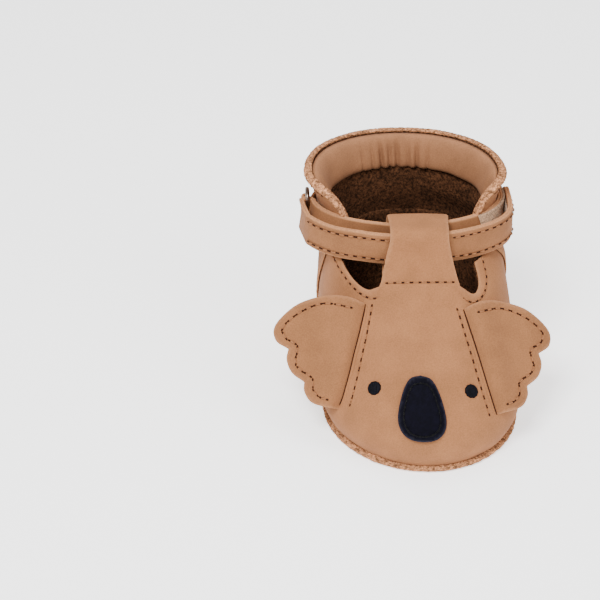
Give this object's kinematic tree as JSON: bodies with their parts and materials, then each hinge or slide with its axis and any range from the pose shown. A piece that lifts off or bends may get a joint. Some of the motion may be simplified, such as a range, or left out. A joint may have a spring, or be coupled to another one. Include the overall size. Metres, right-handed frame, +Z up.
{
  "type": "baby bootie",
  "caption": "Soft leather baby bootie for the left foot with an animal-face toe, floppy scalloped ears and an ankle strap through a ring.",
  "frame": {"origin": "on the ground under the middle of the foot, on the flat underside of the sole", "axes": "toe towards -Y, heel towards +Y, outer side of the left foot towards +X, +Z up"},
  "size_m": [0.1048, 0.1216, 0.0781],
  "materials": {
    "nubuck": "soft matte nubuck",
    "suede": "brushed suede",
    "padding": "thin soft padding",
    "elastic": "flat woven elastic",
    "dark_leather": "matte dark leather",
    "fastener": "hook and loop tape",
    "metal": "dull nickel wire",
    "thread": "waxed thread"
  },
  "bodies": {
    "root": {"collar_elastic": "elastic", "collar_facing": "nubuck", "collar_stitches": "thread", "heel_counter": "nubuck", "insole": "suede", "left_eye": "dark_leather", "loop_patch": "fastener", "nose": "dark_leather", "nose_stitches": "thread", "notch_stitches": "thread", "outsole": "suede", "quarter": "nubuck", "quarter_lining": "suede", "right_eye": "dark_leather", "ring_tab": "nubuck", "slit_stitches": "thread", "sole_padding": "padding", "strap": "nubuck", "strap_backing": "nubuck", "strap_stitches": "thread", "tongue_stitches": "thread", "vamp": "nubuck", "vamp_lining": "suede"},
    "strap_end": {"strap_end": "nubuck", "strap_end_backing": "nubuck", "hook_patch": "fastener", "strap_end_stitches": "thread"},
    "ring": {"ring": "metal"},
    "left_ear": {"left_ear": "nubuck", "left_ear_backing": "nubuck", "left_ear_stitches": "thread"},
    "right_ear": {"right_ear": "nubuck", "right_ear_backing": "nubuck", "right_ear_stitches": "thread"}
  },
  "joints": [
    {"name": "strap_peel", "type": "hinge", "parent": "root", "child": "strap_end", "pos_m": [0.01671, -0.00215, 0.0624], "axis": [0, 0, -1], "range_deg": [0, 70]},
    {"name": "ring_swing", "type": "hinge", "parent": "root", "child": "ring", "pos_m": [-0.0397, 0.0288, 0.0625], "axis": [0, 0, 1], "range_deg": [-3.5, 3.5]},
    {"name": "left_ear_flop", "type": "hinge", "parent": "root", "child": "left_ear", "pos_m": [0.01707, -0.02068, 0.0462], "axis": [0.2797, -0.6333, -0.7216], "range_deg": [0, 50], "stiffness_Nm_per_rad": 0.002},
    {"name": "right_ear_flop", "type": "hinge", "parent": "root", "child": "right_ear", "pos_m": [-0.01912, -0.01623, 0.0462], "axis": [0.2673, 0.5591, 0.7848], "range_deg": [0, 50], "stiffness_Nm_per_rad": 0.002}
  ]
}
